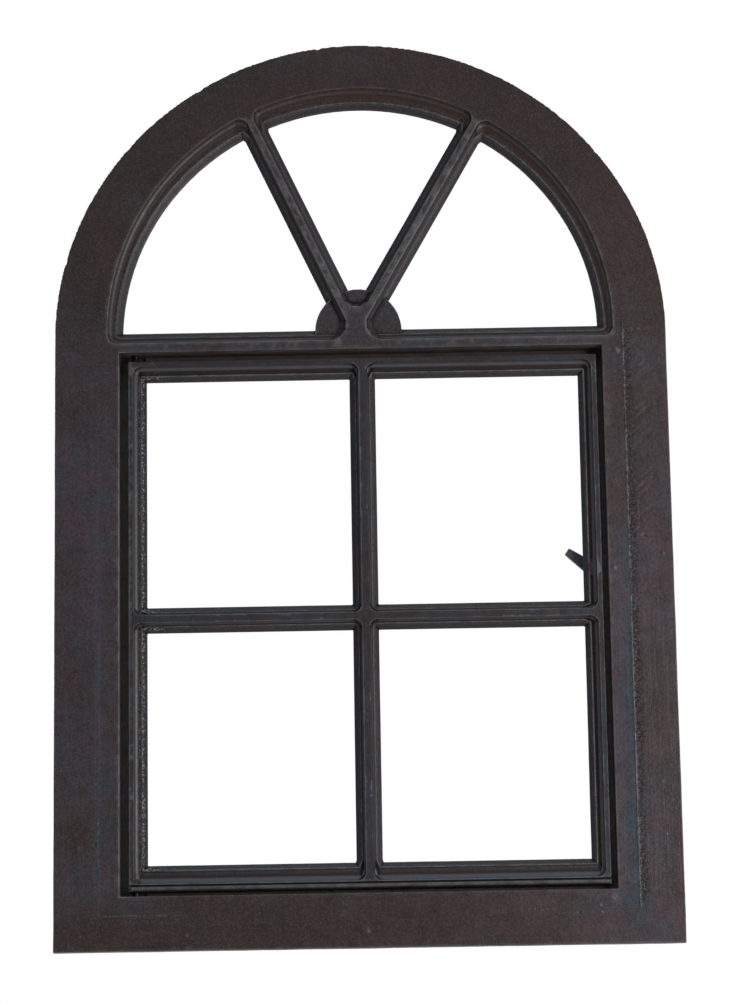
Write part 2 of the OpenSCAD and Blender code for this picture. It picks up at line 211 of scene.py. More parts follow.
def welded(node):
    """A closed copy of a CAD node's mesh, and points along its arrises in metres."""
    bm = bmesh.new()
    bm.from_mesh(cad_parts[node].data)
    bmesh.ops.remove_doubles(bm, verts=bm.verts, dist=WELD)
    arris = []
    for e in bm.edges:
        if len(e.link_faces) == 2 and e.calc_face_angle(0.0) > SHARP:
            a, b = e.verts[0].co, e.verts[1].co
            n = max(1, math.ceil((b - a).length / (EDGE_STEP * MM)))
            arris += [a.lerp(b, i / n) for i in range(n + 1)]
    mesh = bpy.data.meshes.new(node + "_welded")
    bm.to_mesh(mesh)
    bm.free()
    return mesh, arris


def tree_of(points):
    tree = KDTree(len(points))
    for i, at in enumerate(points):
        tree.insert(at, i)
    tree.balance()
    return tree


def snapped(co, arris, reach):
    """Points that lie within reach of an arris, put on it, so that it runs clean at any slope."""
    tree = tree_of(arris)
    for i in range(len(co)):
        found, _, gap = tree.find(co[i])
        if gap < reach:
            co[i] = found
    return co


def nearest(points, asked):
    tree = tree_of(points)
    return np.array([tree.find(at)[1] for at in asked])


def thinned(obj, budget):
    """The object's mesh with no more triangles than the budget."""
    ratio = min(1.0, budget / len(triangles_of(obj.data)))
    return modified(obj, "DECIMATE", ratio=ratio, use_collapse_triangulate=True)


def smooth_by_area(mesh):
    """Smooth shading in which large faces keep their own direction."""
    mesh.polygons.foreach_set("use_smooth", np.ones(len(mesh.polygons), bool))
    tri, co = triangles_of(mesh), points_of(mesh)
    cross = np.cross(co[tri[:, 1]] - co[tri[:, 0]], co[tri[:, 2]] - co[tri[:, 0]])
    sums = [sum(np.bincount(tri[:, k], cross[:, axis], len(co)) for k in range(3)) for axis in range(3)]
    n = np.stack(sums, axis=1)
    n /= np.maximum(np.linalg.norm(n, axis=1), 1e-30)[:, None]
    mesh.normals_split_custom_set_from_vertices(n.astype(np.float32))


def attribute(mesh, name, values):
    kind, key = ("FLOAT_VECTOR", "vector") if values.ndim == 2 else ("FLOAT", "value")
    made = mesh.attributes.new(name, kind, "POINT")
    made.data.foreach_set(key, values.astype(np.float32).ravel())


def shape_marks(co, edges, normal, voxel):
    """How far each point stands out of its surroundings (arris) or lies in them (hollow), from 0 to 1."""

    def standing(rounds):
        off = np.einsum("ij,ij->i", co - relax(co, edges, rounds, 0.5), normal) / (voxel * MM)
        return relax(off[:, None], edges, 1, 0.5)[:, 0]

    return {"arris": np.clip(standing(2) / 0.16, 0, 1), "hollow": np.clip(-standing(8) / 0.45, 0, 1)}


class Skin:
    """How a mesh is made: voxel in mm, triangles, relief, rounds and share of softening, and its marks."""

    def __init__(self, voxel, budget, relief, soften, marks):
        self.voxel, self.budget = ((voxel, budget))
        self.relief, self.soften, self.marks = relief, soften, marks


def cast_skin(name, node, skin):
    """A cast skin over a CAD node: even small faces, softened arrises, and relief along the normals."""
    mesh, arris = welded(node)
    source = new_object(node + "_source", mesh)
    even = modified(source, "REMESH", mode="VOXEL", voxel_size=skin.voxel * MM)
    fine = new_object(node + "_fine", even)
    wrapped = modified(fine, "SHRINKWRAP", target=source, wrap_method="NEAREST_SURFACEPOINT")
    edges = edges_of(wrapped)
    co = snapped(points_of(wrapped), arris, skin.voxel * MM * SNAP)
    co = relax(co, edges, *skin.soften)
    put_points(wrapped, co)
    normal = points_of(wrapped, "normal")
    co += normal * (skin.relief(co / MM, normal) * MM)[:, None]
    put_points(wrapped, co)
    marks = shape_marks(co, edges, points_of(wrapped, "normal"), skin.voxel)
    fine.data = wrapped
    final = thinned(fine, skin.budget)
    for obj in (fine, source):
        bpy.data.objects.remove(obj)
    final.name = name
    smooth_by_area(final)
    near = nearest(co, points_of(final))
    for mark, values in marks.items():
        attribute(final, mark, values[near])
    return new_object(name, final)


# ---------------------------------------------------------------- places on the window
def arch_radius(p):
    """Distance from the middle line, or above the springing from the arch's centre."""
    return np.hypot(p[:, 0], np.maximum(p[:, 2] - SPRING, 0))


def rim_distance(p):
    """Distance outside the raised rim's inner edge, which follows the jambs, the arch and the foot."""
    return np.maximum(arch_radius(p) - RIM, RIM_FOOT - p[:, 2])


def recess_distance(p):
    """Distance outside the opening that the sash stands in."""
    half, foot, head = RECESS
    x, _, z = p.T
    return np.maximum(np.abs(x) - half, np.maximum(foot - z, z - head))


def jambs(p, full):
    """1 on the left jamb and on the right one, from that x on."""
    return ramp(-p[:, 0], 150, full), ramp(p[:, 0], 150, full)


def pin_distance(p):
    return np.hypot(p[:, 0] - PIN[0], p[:, 1] - PIN[1])


def latch_distance(p):
    return np.hypot(p[:, 0] - LATCH[0], p[:, 2] - LATCH[1])


def bevel_mark(p, n, span_y):
    """1 on the bevels between a cove and a pane edge."""
    low, high = span_y
    level = ramp(p[:, 1], low, low + 0.8) * ramp(p[:, 1], high - 0.3, high - 2.4)
    return level * ramp(-n[:, 1], 0.2, 0.45) * ramp(-n[:, 1], 0.97, 0.9)


def frame_bevels(p, n):
    return bevel_mark(p, n, FAN_BEVEL) * ramp(p[:, 2], *FAN_FOOT)


def sash_bevels(p, n):
    """They are roughest on the left stile."""
    return bevel_mark(p, n, SASH_BEVEL) * (0.5 + 0.5 * ramp(-p[:, 0], 150, 175))


def bevel_slope(y, span_y):
    """0 at the inner arris of a bevel, 1 at the pane edge."""
    low, high = span_y
    return (y - low) / (high - low)


def groove(p, n, floor):
    """1 along a cove's floor at that y, where it faces the front."""
    return ramp(-n[:, 1], 0.9, 0.98) * bell(p[:, 1] - floor, 0.7)


def cove_wall(p, face, floor):
    """1 on the hollow of a cove, between the y of its face and of its floor."""
    return ramp(p[:, 1], face + 0.2, face + 0.8) * ramp(p[:, 1], floor + 0.1, floor - 0.6)


def cove_floor(p, floor):
    """1 at the depth of a cove's floor, whichever way it faces."""
    return ramp(p[:, 1], floor - 0.8, floor) * ramp(p[:, 1], floor + 0.9, floor + 0.4)


# ---------------------------------------------------------------- relief of the castings, mm
def bump_at(p, x, z, radius, height):
    return height * bell(np.hypot(p[:, 0] - x, p[:, 2] - z), radius)


def line_at(p, ends, width):
    """1 along a segment in x and z, falling to its sides."""
    a, b = np.array(ends)
    q = p[:, [0, 2]]
    t = np.clip(((q - a) @ (b - a)) / ((b - a) @ (b - a)), 0, 1)
    return bell(np.linalg.norm(q - a - t[:, None] * (b - a), axis=1), width)


def waves(p, large, middle, small):
    return large * noise(p, 60, 1) + middle * noise(p, 22, 2) + small * noise(p, 7, 3)


def grit(p):
    """Coarse sand grain of the moulding's bevels."""
    return 0.22 * noise(p, 2.2, 11) + 0.18 * noise(p, 4.1, 12) + 0.08 * noise(p, 8.0, 13)


def fan_relief(p, n):
    """Gritty bevels and grooved coves of the fanlight."""
    grooved = groove(p, n, FAN_GROOVE) * ramp(arch_radius(p), 214, 208) * ramp(p[:, 2], *FAN_FOOT)
    return 0.5 * frame_bevels(p, n) * grit(p) - 0.5 * grooved


def rim_relief(p, n, front):
    """The rim's inner edge: crisp on the right jamb, worn on the foot and the left, gone on the arch."""
    _, y, z = p.T
    off = rim_distance(p)
    left, right = jambs(p, 205)
    right = right * ramp(z, 24, 36)
    arched = ramp(z, 505, 530)
    worn = np.clip(1 - right * (1 - arched), 0.1, 1)
    above = np.clip(FACE - y, 0, 0.6) * ramp(-n[:, 1], 0.3, 0.6)
    d = -worn * (above - front * 0.16 * (1 - arched) * ramp(off, -2.0, 4.0))
    broken = np.clip(0.45 + 1.1 * noise(p, (5, 5, 14), 4), 0, 1.4) * (1 - arched)
    d += front * bell(off, 0.8) * broken * (0.05 + 0.26 * right)
    pitted = ramp(off, 0.3, 1.2) * ramp(off, 8.0, 3.0) * right * ramp(z, 520, 500)
    pitted += ramp(off, -1.0, 1.0) * ramp(off, 6, 3) * left * ramp(z, 62, 74) * ramp(z, 118, 104)
    d -= front * pitted * 0.6 * np.clip(noise(p, 2.6, 5) + 0.6 * noise(p, 1.6, 6) - 0.15, 0, 1)
    # the band rises towards the rim on the lower jambs
    rising = ramp(off, -12, -0.5) * ramp(off, 0.6, 0.0) * (right + 0.5 * left) * ramp(z, 330, 200)
    return d + front * 0.4 * rising


def face_flaws(p):
    """Wrinkled paint, seam, scar and pit row of the right jamb, and specks all over."""
    x, y, z = p.T
    # the wrinkles run up to the right
    u, v = x * 0.77 + z * 0.64, z * 0.77 - x * 0.64
    wrinkle = noise(np.stack([u, y, v], 1), (10, 40, 2.6), 7)
    d = 0.22 * wrinkle * ramp(x, 217, 222) * ramp(x, 246, 232) * ramp(z, 325, 350) * ramp(z, 520, 500)
    d += 0.6 * line_at(p, SEAM, 1.2) * (0.6 + 0.6 * noise(p, 4, 10))
    d -= 0.9 * line_at(p, SCAR, 1.2) * np.clip(0.5 + 0.9 * noise(p, 2.6, 8), 0, 1)
    d -= 0.35 * line_at(p, PIT_ROW, 0.9) * np.clip(noise(p, 3, 9) + 0.3, 0, 1)
    for speck in PIMPLES:
        d += bump_at(p, *speck)
    return d


def edge_relief(p):
    """Uneven outer edge, with nicks on the arch."""
    x, _, z = p.T
    r = arch_radius(p)
    edge = ramp(np.maximum(r, np.abs(x)), OUTER - 2, OUTER - 0.3) + ramp(z, 2, 0.3)
    d = np.clip(edge, 0, 1) * (0.18 * noise(p, 26, 21) + 0.04 * noise(p, 8, 22))
    theta = np.degrees(np.arctan2(z - SPRING, x))
    for angle, depth in NICKS:
        d -= depth * bell(theta - angle, 0.55) * ramp(r, OUTER - 3, OUTER - 0.5)
    return d


def frame_relief(p, n):
    y = p[:, 1]
    front = ramp(-n[:, 1], 0.7, 0.93) * ramp(y, -6.2, -7.0)
    d = (0.25 + 0.75 * ramp(y, 3.0, 0.0)) * waves(p, 0.11, 0.05, 0.022)
    d += fan_relief(p, n) + rim_relief(p, n, front) + front * face_flaws(p) + edge_relief(p)
    return d * ramp(pin_distance(p), 3.6, 7.0)


def sash_relief(p, n):
    _, y, z = p.T
    d = (0.15 + 0.85 * ramp(y, 9.5, 6.5)) * waves(p, 0.05, 0.04, 0.02)
    d += sash_bevels(p, n) * grit(p)
    d -= 0.7 * groove(p, n, SASH_GROOVE)
    d -= 0.8 * bell(z - DRIP_GROOVE, 0.6) * ramp(y, 0.4, -0.4) * ramp(-n[:, 1], 0.3, 0.7)
    return d * ramp(pin_distance(p), 3.6, 6.0) * ramp(latch_distance(p), 5, 9)


def lever_relief(p, _):
    return ramp(latch_distance(p), 7, 12) * (0.12 * noise(p, 9, 15) + 0.06 * noise(p, 3, 16))


def turned_relief(p, _):
    return 0.012 * noise(p, 1.2, 17) - 0.01


# ---------------------------------------------------------------- what the paint reads at each point
def frame_strokes(p):
    """Across and along the brush, in mm: up the jambs, round the arch and along the foot."""
    x, y, z = p.T
    rise = z - SPRING
    round_arch = np.arctan2(np.maximum(rise, 0), np.abs(x)) * FLANGE_MIDDLE
    along = np.where(rise > 0, SPRING + round_arch, z)
    middle, half_height, half_width = TRANSOM
    foot = (z < 50) & (np.abs(x) < RIM)
    flat = foot | (np.abs(z - middle) < half_height) & (np.abs(x) < half_width)
    across, along = np.where(flat, z, arch_radius(p)), np.where(flat, x, along)
    # shifts in depth keep the strokes of neighbouring parts apart
    return np.stack([across, along, y + 300 * np.sign(x) + 150 * flat], 1)


def bar_gap(v, edges):
    """Distance from the nearest bar or stile, given by pairs of edges."""
    return np.min([np.maximum(np.maximum(a - v, v - b), 0) for a, b in zip(edges[::2], edges[1::2])], axis=0)


def sash_strokes(p):
    x, y, z = p.T
    upright = bar_gap(x, SASH_X) <= bar_gap(z, SASH_Z)
    return np.stack([np.where(upright, x, z), np.where(upright, z, x), y + 200 * upright], 1)


def frame_brushed(p):
    """How strongly the brush shows: most on the lower right jamb, least on the arch."""
    x, _, z = p.T
    upright = ramp(np.abs(x), 150, 205) * ramp(z, 540, 420)
    place = 0.22 + 0.25 * upright + 0.5 * upright * ramp(x, 0, 100) * ramp(z, 330, 200)
    corner = ramp(z, 44, 36) * ramp(np.abs(x), 195, 205)
    return np.clip(place + 0.15 * noise(p, 60, 35), 0, 1) * (1 - 0.9 * corner)


def frame_cool_sheen(p):
    """Where a bluish grey bloom and painted sheen go: left jamb, lower right band, bars; least on arch and foot."""
    x, _, z = p.T
    off = rim_distance(p)
    left, right = jambs(p, 200)
    # the band's share grows towards the rim, a painted reflection of the sky
    band = ramp(z, 400, 220) * ramp(z, 26, 50) * (0.45 + 0.5 * ramp(off, -13, -2)) * ramp(off, 1.5, -0.5)
    place = 0.55 * left * ramp(z, 620, 420) * ramp(z, 10, 60)
    place += 0.7 * left * bell(off, 2.5) * ramp(z, 400, 250) * ramp(z, 28, 50)
    place += right * band
    place += 0.45 * right * ramp(z, 540, 480)
    place += 0.5 * ramp(z, 490, 500) * ramp(np.hypot(x, z - SPRING), 206, 190)
    place += 0.35 * ramp(x, 60, 200) * ramp(z, 50, 20)
    place -= 0.5 * bell(np.hypot((x + 234) / 13, (z - 95) / 24), 1.0)
    return np.clip(place + 0.28 * noise(p, 45, 31) + 0.15 * noise(p, 16, 32), 0, 1)


def frame_slate(p):
    """Whether that bloom and painted sheen is plum (0) or slate (1)."""
    z = p[:, 2]
    off = rim_distance(p)
    left, right = jambs(p, 200)
    place = 0.4 + 0.3 * left * ramp(z, 300, 80)
    place += 0.6 * right * ramp(z, 360, 200) * ramp(off, -15, -2) * ramp(off, 1.0, -0.5)
    place += 0.3 * ramp(z, 490, 500) * (1 - left - right)
    return np.clip(place, 0, 1)


def sash_cool_sheen(p):
    # bluish grey bloom and painted sheen, at random over the sash
    return np.clip(0.6 + 0.3 * noise(p, 50, 33) + 0.2 * noise(p, 15, 34), 0, 1)


def rim_burr(p):
    """Where the rim's inner edge shows metal and a painted highlight: the right jamb, and parts of the left and the
    foot.
    """
    x, y, z = p.T
    left, right = jambs(p, 205)
    right = right * ramp(z, 26, 40) * ramp(z, 522, 508)
    left = left * ramp(z, 62, 74) * ramp(z, 118, 104)
    foot = ramp(z, 36, 31) * ramp(-x, 130, 170) * ramp(-x, 224, 218)
    return (right + 0.3 * left + 0.35 * foot) * ramp(y, -6.0, -7.0)


def frame_marks(p, n):
    x, y, z = p.T
    inside = ramp(np.abs(x - 1), 207, 204) * ramp(z, 40, 44) * ramp(z, 505, 501)
    fan = ramp(arch_radius(p), 216, 213) * ramp(z, 503, 507)
    return {
        "stroke": frame_strokes(p) * MM,
        "cool_sheen": frame_cool_sheen(p),
        "brushed": frame_brushed(p),
        "slate": frame_slate(p),
        "bevel": frame_bevels(p, n) * 0.8,
        "glint": np.full(len(p), 0.05),
        "slope": bevel_slope(y, FAN_BEVEL),
        # painted sheen on the fanlight's cove walls
        "wall_sheen": cove_wall(p, FACE, FAN_BEVEL[0]) * fan * 0.5,
        "cove": cove_floor(p, FAN_BEVEL[0]) * fan,
        # worn paint and painted highlight on the arrises, most in the fanlight
        "bare_and_highlight": 0.22 + 0.4 * fan * ramp(y, 0.4, -0.8),
        # where hollows get their painted shade: only deeper than the face band
        "hollow_shade_reach": ramp(y, -7.3, -6.9),
        "recess_gap": np.clip(recess_distance(p), -9, 9),
        # painted highlight on the recess edge, strongest on the left jamb
        "lip": 0.22 + 0.7 * ramp(-x, 190, 200),
        "rim_gap": np.clip(rim_distance(p), -20, 20),
        "burr": rim_burr(p),
        # dust and painted fill light in the recess, less at its head
        "dust_and_fill_light": inside * ramp(y, -6.6, -4.0) * (1 - 0.65 * ramp(z, 480, 494)),
    }


def sash_marks(p, n):
    x, y, z = p.T
    within = ramp(x, SASH_X[0] + 3, SASH_X[0] + 5) * ramp(x, SASH_X[5] - 3, SASH_X[5] - 5)
    within *= ramp(z, SASH_Z[0] + 5, SASH_Z[0] + 6.5) * ramp(z, SASH_Z[5] - 3, SASH_Z[5] - 5)
    return {
        "stroke": sash_strokes(p) * MM,
        "cool_sheen": sash_cool_sheen(p),
        "brushed": np.full(len(p), 0.35),
        "slate": np.full(len(p), 0.7),
        "bevel": sash_bevels(p, n),
        # painted glints on the bevels, strongest on the left stile
        "glint": 0.12 + 0.88 * ramp(-x, 160, 172),
        "slope": bevel_slope(y, SASH_BEVEL),
        # painted sheen on the sash's cove walls
        "wall_sheen": cove_wall(p, SASH_FACE, SASH_BEVEL[0]) * within,
        "cove": cove_floor(p, SASH_BEVEL[0]) * within,
        # worn paint and painted highlight on the sash's arrises, in front
        "bare_and_highlight": ramp(y, 5.2, 4.2),
        "hollow_shade_reach": np.ones(len(p)),
        # dust and painted fill light on the sash's sides in the gap
        "dust_and_fill_light": (1 - within) * ramp(y, 0.5, 2.5) * ramp(-n[:, 1], 0.8, 0.4),
    }


def small_marks(p, _):
    even = np.ones(len(p))
    return {
        "stroke": p * MM,
        "cool_sheen": 0.9 * even,
        "slate": 0.9 * even,
        "brushed": 0.35 * even,
        "bare_and_highlight": 0.5 * even,
        "hollow_shade_reach": even,
    }


# ---------------------------------------------------------------- nodes
def add(tree, kind, inputs=None, **settings):
    made = tree.nodes.new(kind)
    for key, value in settings.items():
        setattr(made, key, value)
    for key, value in (inputs or {}).items():
        if isinstance(value, bpy.types.NodeSocket):
            tree.links.new(value, made.inputs[key])
        else:
            made.inputs[key].default_value = value
    return made


def calc(tree, operation, a, b=0.0, clamp=False):
    return add(tree, "ShaderNodeMath", {0: a, 1: b}, operation=operation, use_clamp=clamp).outputs[0]


def product(tree, *factors):
    out = factors[0]
    for factor in factors[1:]:
        out = calc(tree, "MULTIPLY", out, factor)
    return out


def total(tree, *terms):
    out = terms[0]
    for term in terms[1:]:
        out = calc(tree, "ADD", out, term)
    return out


def span(tree, value, low, high, to_low=0.0, to_high=1.0):
    sockets = {"Value": value, "From Min": low, "From Max": high, "To Min": to_low, "To Max": to_high}
    return add(tree, "ShaderNodeMapRange", sockets).outputs[0]


def mixed(tree, factor, a, b):
    return add(tree, "ShaderNodeMix", {0: factor, 6: a, 7: b}, data_type="RGBA").outputs[2]


def read(tree, name, output="Fac"):
    return add(tree, "ShaderNodeAttribute", attribute_name=name).outputs[output]


def cloud(tree, vector, scale, detail=3.0, rough=0.55):
    sockets = {"Vector": vector, "Scale": scale, "Detail": detail, "Roughness": rough}
    return add(tree, "ShaderNodeTexNoise", sockets).outputs[0]


def scaled(tree, vector, factors):
    return add(tree, "ShaderNodeVectorMath", {0: vector, 1: factors}, operation="MULTIPLY").outputs[0]


def bumped(tree, height):
    """The normal over a height in metres."""
    return add(tree, "ShaderNodeBump", {"Strength": 1.0, "Distance": 1.0, "Height": height}).outputs[0]


def rgba(r, g, b):
    return (r, g, b, 1.0)


def new_material(name):
    material = bpy.data.materials.new(name)
    material.use_nodes = True
    tree = material.node_tree
    return material, tree, tree.nodes["Principled BSDF"]


def connect(tree, shader, sockets):
    for name, socket in sockets.items():
        tree.links.new(socket, shader.inputs[name])


# ---------------------------------------------------------------- materials
class Paint:
    """Brushed oil paint over cast iron: brown with plum and slate bloom and painted sheen, sand grain, dirt and
    wear, with painted shade in the hollows and painted highlights on bevels and edges.
    """

    MARKS = (  # a mark that a piece lacks reads as 0
        "cool_sheen", "slate", "brushed", "bare_and_highlight", "dust_and_fill_light", "bevel", "glint", "slope", "wall_sheen", "cove",
        "rim_gap", "burr", "recess_gap", "lip", "arris", "hollow", "hollow_shade_reach",
    )

    def __init__(self, name, tone):
        self.material, self.tree, self.shader = new_material(name)
        self.tone = tone
        tree = self.tree
        place = add(tree, "ShaderNodeTexCoord").outputs["Object"]
        stroke = read(tree, "stroke", "Vector")
        self.mark = {mark: read(tree, mark) for mark in self.MARKS}
        self.depth = add(tree, "ShaderNodeSeparateXYZ", {0: place}).outputs[1]
        self.bristle = cloud(tree, scaled(tree, stroke, (900, 20, 200)), 1.0, 2.0)
        self.sweep = cloud(tree, scaled(tree, stroke, (230, 11, 60)), 1.0, 3.0)
        self.patch = cloud(tree, place, 11.0, 4.0, 0.55)
        self.bloom = cloud(tree, place, 38.0, 6.0, 0.68)
        self.mottle = cloud(tree, place, 95.0, 4.0, 0.6)
        self.fleck = cloud(tree, place, 300.0, 3.0, 0.6)
        self.grain = cloud(tree, place, 560.0, 3.0, 0.7)
        self.sand = cloud(tree, place, 520.0, 2.0, 0.6)
        self.dirt, self.wear_and_highlight = self.dirt_mask(), self.wear_and_highlight_mask()
        self.burr, self.pits_and_shade = self.burr_mask(), self.pit_and_shade_mask()

    def shade(self, colour, factor=1.0):
        return rgba(*[v * self.tone * factor for v in colour])

    def dirt_mask(self):
        """Dirt and painted shade in the hollows and on the cove floors, and darkening on the bevels towards the
        pane edge.
        """
        tree, mark = self.tree, self.mark
        # painted shade: darker the deeper a point lies in a hollow
        hollow = span(tree, product(tree, mark["hollow"], mark["hollow_shade_reach"]), 0.12, 0.5, 0.0, 0.9)
        low = product(tree, mark["bevel"], span(tree, mark["slope"], 0.3, 1.0, 0.0, 0.9))
        return calc(tree, "MAXIMUM", calc(tree, "MAXIMUM", hollow, product(tree, mark["cove"], 0.45)), low)

    def wear_and_highlight_mask(self):
        tree, mark = self.tree, self.mark
        # arrises lightened: worn paint, and partly a painted highlight
        arris = span(tree, mark["arris"], 0.08, 0.5, 0.0, 0.8)
        return product(tree, mark["bare_and_highlight"], arris, span(tree, self.mottle, 0.35, 0.6, 0.35, 1.0))

    def burr_mask(self):
        """A broken bright line on the rim's inner edge: bare metal of the burr, and partly a painted highlight."""
        tree, mark = self.tree, self.mark
        line = span(tree, calc(tree, "ABSOLUTE", mark["rim_gap"]), 0.3, 1.0, 1.0, 0.0)
        flecks = span(tree, self.fleck, 0.44, 0.58)
        return product(tree, mark["burr"], line, flecks, span(tree, self.mottle, 0.4, 0.58, 0.45, 1.0))

    def pit_and_shade_mask(self):
        """Pits on the rim, beside that line, painted dark as shade inside them."""
        tree, gap = self.tree, self.mark["rim_gap"]
        beside = product(tree, self.mark["burr"], span(tree, gap, 0.4, 1.2), span(tree, gap, 3.0, 9.0, 1.0, 0.0))
        return product(tree, beside, span(tree, self.sand, 0.5, 0.42), span(tree, self.patch, 0.35, 0.55, 0.3, 1.0))

    def coat(self):
        """Dark and warm brown, plum and slate bloom that is partly a painted sheen, bristle streaks, and grain of
        both tones.
        """
        tree, mark, shade = self.tree, self.mark, self.shade
        warmth = total(
            tree,
            span(tree, self.patch, 0.3, 0.7, 0.2, 0.8),
            span(tree, self.mottle, 0.3, 0.7, -0.2, 0.2),
            product(tree, mark["brushed"], span(tree, self.sweep, 0.3, 0.7, -0.3, 0.3)),
        )
        colour = mixed(tree, warmth, shade(DARK), shade(WARM))
        slate = total(tree, span(tree, self.bloom, 0.38, 0.62, -0.5, 0.5), mark["slate"])
        # bloom and painted sheen, plum or slate
        cool_sheen = product(tree, mark["cool_sheen"], span(tree, self.mottle, 0.3, 0.6, 0.6, 1.0))
        colour = mixed(tree, cool_sheen, colour, mixed(tree, slate, shade(PLUM), shade(SLATE)))
        streak = product(tree, mark["brushed"], span(tree, self.bristle, 0.45, 0.75, 0.0, 0.3))
        colour = mixed(tree, streak, colour, shade(EDGE))
        colour = mixed(tree, span(tree, self.grain, 0.5, 0.34, 0.0, 0.45), colour, shade(DARK, 0.3))
        return mixed(tree, span(tree, self.grain, 0.52, 0.68, 0.0, 0.3), colour, shade(EDGE))

    def soiled(self, colour):
        """Painted slate sheen on cove walls, darker slate on bevels, rust on cove floors, dirt and painted shade in
        the hollows, dust and painted fill light in the gap.
        """
        tree, mark, shade = self.tree, self.mark, self.shade
        # painted sheen: light slate on the coves' walls
        wall_sheen = product(tree, mark["wall_sheen"], span(tree, self.mottle, 0.3, 0.6, 0.3, 0.8))
        colour = mixed(tree, wall_sheen, colour, shade(SLATE, 1.1))
        colour = mixed(tree, product(tree, mark["bevel"], 0.7), colour, shade(SLATE, 0.6))
        rust = product(tree, mark["cove"], span(tree, self.mottle, 0.3, 0.65, 0.35, 1.0))
        colour = mixed(tree, rust, colour, shade(RUST))
        # dirt and painted shade: near black in the hollows and on the cove floors
        colour = mixed(tree, self.dirt, colour, shade(RUST, 0.18))
        # dust and painted fill light: the gap lightened
        dust_and_fill_light = product(tree, mark["dust_and_fill_light"], span(tree, self.mottle, 0.3, 0.7, 0.6, 1.0))
        return mixed(tree, dust_and_fill_light, colour, shade(DUST_AND_FILL_LIGHT))

    def worn(self, colour):
        """Painted glints speckled on the bevels, worn arrises lightened partly as painted highlights, the recess
        edge as a painted highlight, and the rim's line and pits: a painted highlight over the burr, pits painted
        dark as shade.
        """
        tree, mark, shade = self.tree, self.mark, self.shade
        # painted glints: light specks on the bevels, fading towards the pane edge
        glint_specks = product(tree, mark["bevel"], mark["glint"], span(tree, self.sand, 0.53, 0.61))
        glint_specks = product(tree, glint_specks, span(tree, mark["slope"], 0.35, 0.8, 1.0, 0.1))
        colour = mixed(tree, glint_specks, colour, shade(GLINT))
        # painted highlight along the edge of the recess, strongest on the left jamb
        recess_edge_highlight = product(
            tree,
            mark["lip"],
            span(tree, mark["recess_gap"], 0.2, 1.0, 1.0, 0.0),
            span(tree, self.depth, (FACE + 0.9) * MM, (FACE + 0.5) * MM),
            span(tree, self.mottle, 0.35, 0.55, 0.3, 1.0),
        )
        # worn arrises and the recess edge lightened, as painted highlights
        colour = mixed(tree, calc(tree, "MAXIMUM", self.wear_and_highlight, recess_edge_highlight), colour, shade(GLINT, 0.6))
        # the rim's bright line, partly a painted highlight
        colour = mixed(tree, product(tree, self.burr, 0.7), colour, shade(GLINT, 0.6))
        # painted shade: the pits darkened
        return mixed(tree, product(tree, self.pits_and_shade, 0.6), colour, shade(DARK, 0.3))

    def roughness(self):
        tree, mark = self.tree, self.mark
        return total(
            tree,
            span(tree, self.mottle, 0.3, 0.7, 0.36, 0.48),
            product(tree, mark["brushed"], span(tree, self.sweep, 0.3, 0.7, -0.05, 0.07)),
            product(tree, self.wear_and_highlight, -0.08),
            product(tree, self.dirt, 0.3),
            product(tree, mark["dust_and_fill_light"], 0.45),
        )

    def shine(self):
        tree, mark = self.tree, self.mark
        clean = total(tree, product(tree, mark["wall_sheen"], 0.3), product(tree, mark["dust_and_fill_light"], -0.26), 0.3)
        return product(tree, clean, span(tree, self.dirt, 0.0, 0.9, 1.0, 0.3))

    def height(self):
        """Relief of the paint in metres."""
        tree, mark = self.tree, self.mark
        return total(
            tree,
            product(tree, mark["brushed"], self.bristle, 0.00012),
            product(tree, mark["brushed"], self.sweep, 0.00022),
            product(tree, self.mottle, 0.0002),
            product(tree, self.fleck, 0.00022),
            product(tree, self.grain, 0.00018),
            product(tree, mark["bevel"], mark["glint"], self.sand, 0.0012),
            product(tree, mark["bevel"], self.sand, 0.0003),
            product(tree, self.burr, 0.0003),
            product(tree, self.pits_and_shade, -0.0009),
        )


def paint(name, tone):
    made = Paint(name, tone)
    sockets = {
        "Base Color": made.worn(made.soiled(made.coat())),
        "Roughness": made.roughness(),
        "Specular IOR Level": made.shine(),
        "Normal": bumped(made.tree, made.height()),
    }
    connect(made.tree, made.shader, sockets)
    return made.material


def steel(name, bright, rust):
    """Turned steel with grey skin, fine lathe lines and freckles of rust."""
    material, tree, shader = new_material(name)
    place = add(tree, "ShaderNodeTexCoord").outputs["Object"]
    lathe = cloud(tree, scaled(tree, place, (60, 60, 5200)), 1.0, 2.0)
    spots = cloud(tree, place, 420.0, 4.0, 0.65)
    film = cloud(tree, place, 120.0, 3.0)
    rusty = calc(tree, "MULTIPLY", span(tree, spots, 0.5, 0.64), span(tree, film, 0.35, 0.6), True)
    colour = mixed(tree, span(tree, film, 0.3, 0.7), rgba(*bright), rgba(*[v * 0.45 for v in bright]))
    colour = mixed(tree, rusty, colour, rgba(*rust))
    # oil and painted shade: hollows darkened
    colour = mixed(tree, product(tree, read(tree, "hollow"), 0.7), colour, rgba(*OIL_AND_SHADE))
    rough = calc(tree, "ADD", span(tree, lathe, 0.3, 0.7, 0.26, 0.42), product(tree, rusty, 0.4), True)
    height = total(tree, product(tree, lathe, 0.000015), product(tree, spots, 0.00004))
    sockets = {
        "Base Color": colour,
        "Metallic": span(tree, rusty, 0.0, 1.0, 0.9, 0.05),
        "Roughness": rough,
        "Normal": bumped(tree, height),
    }
    connect(tree, shader, sockets)
    return material


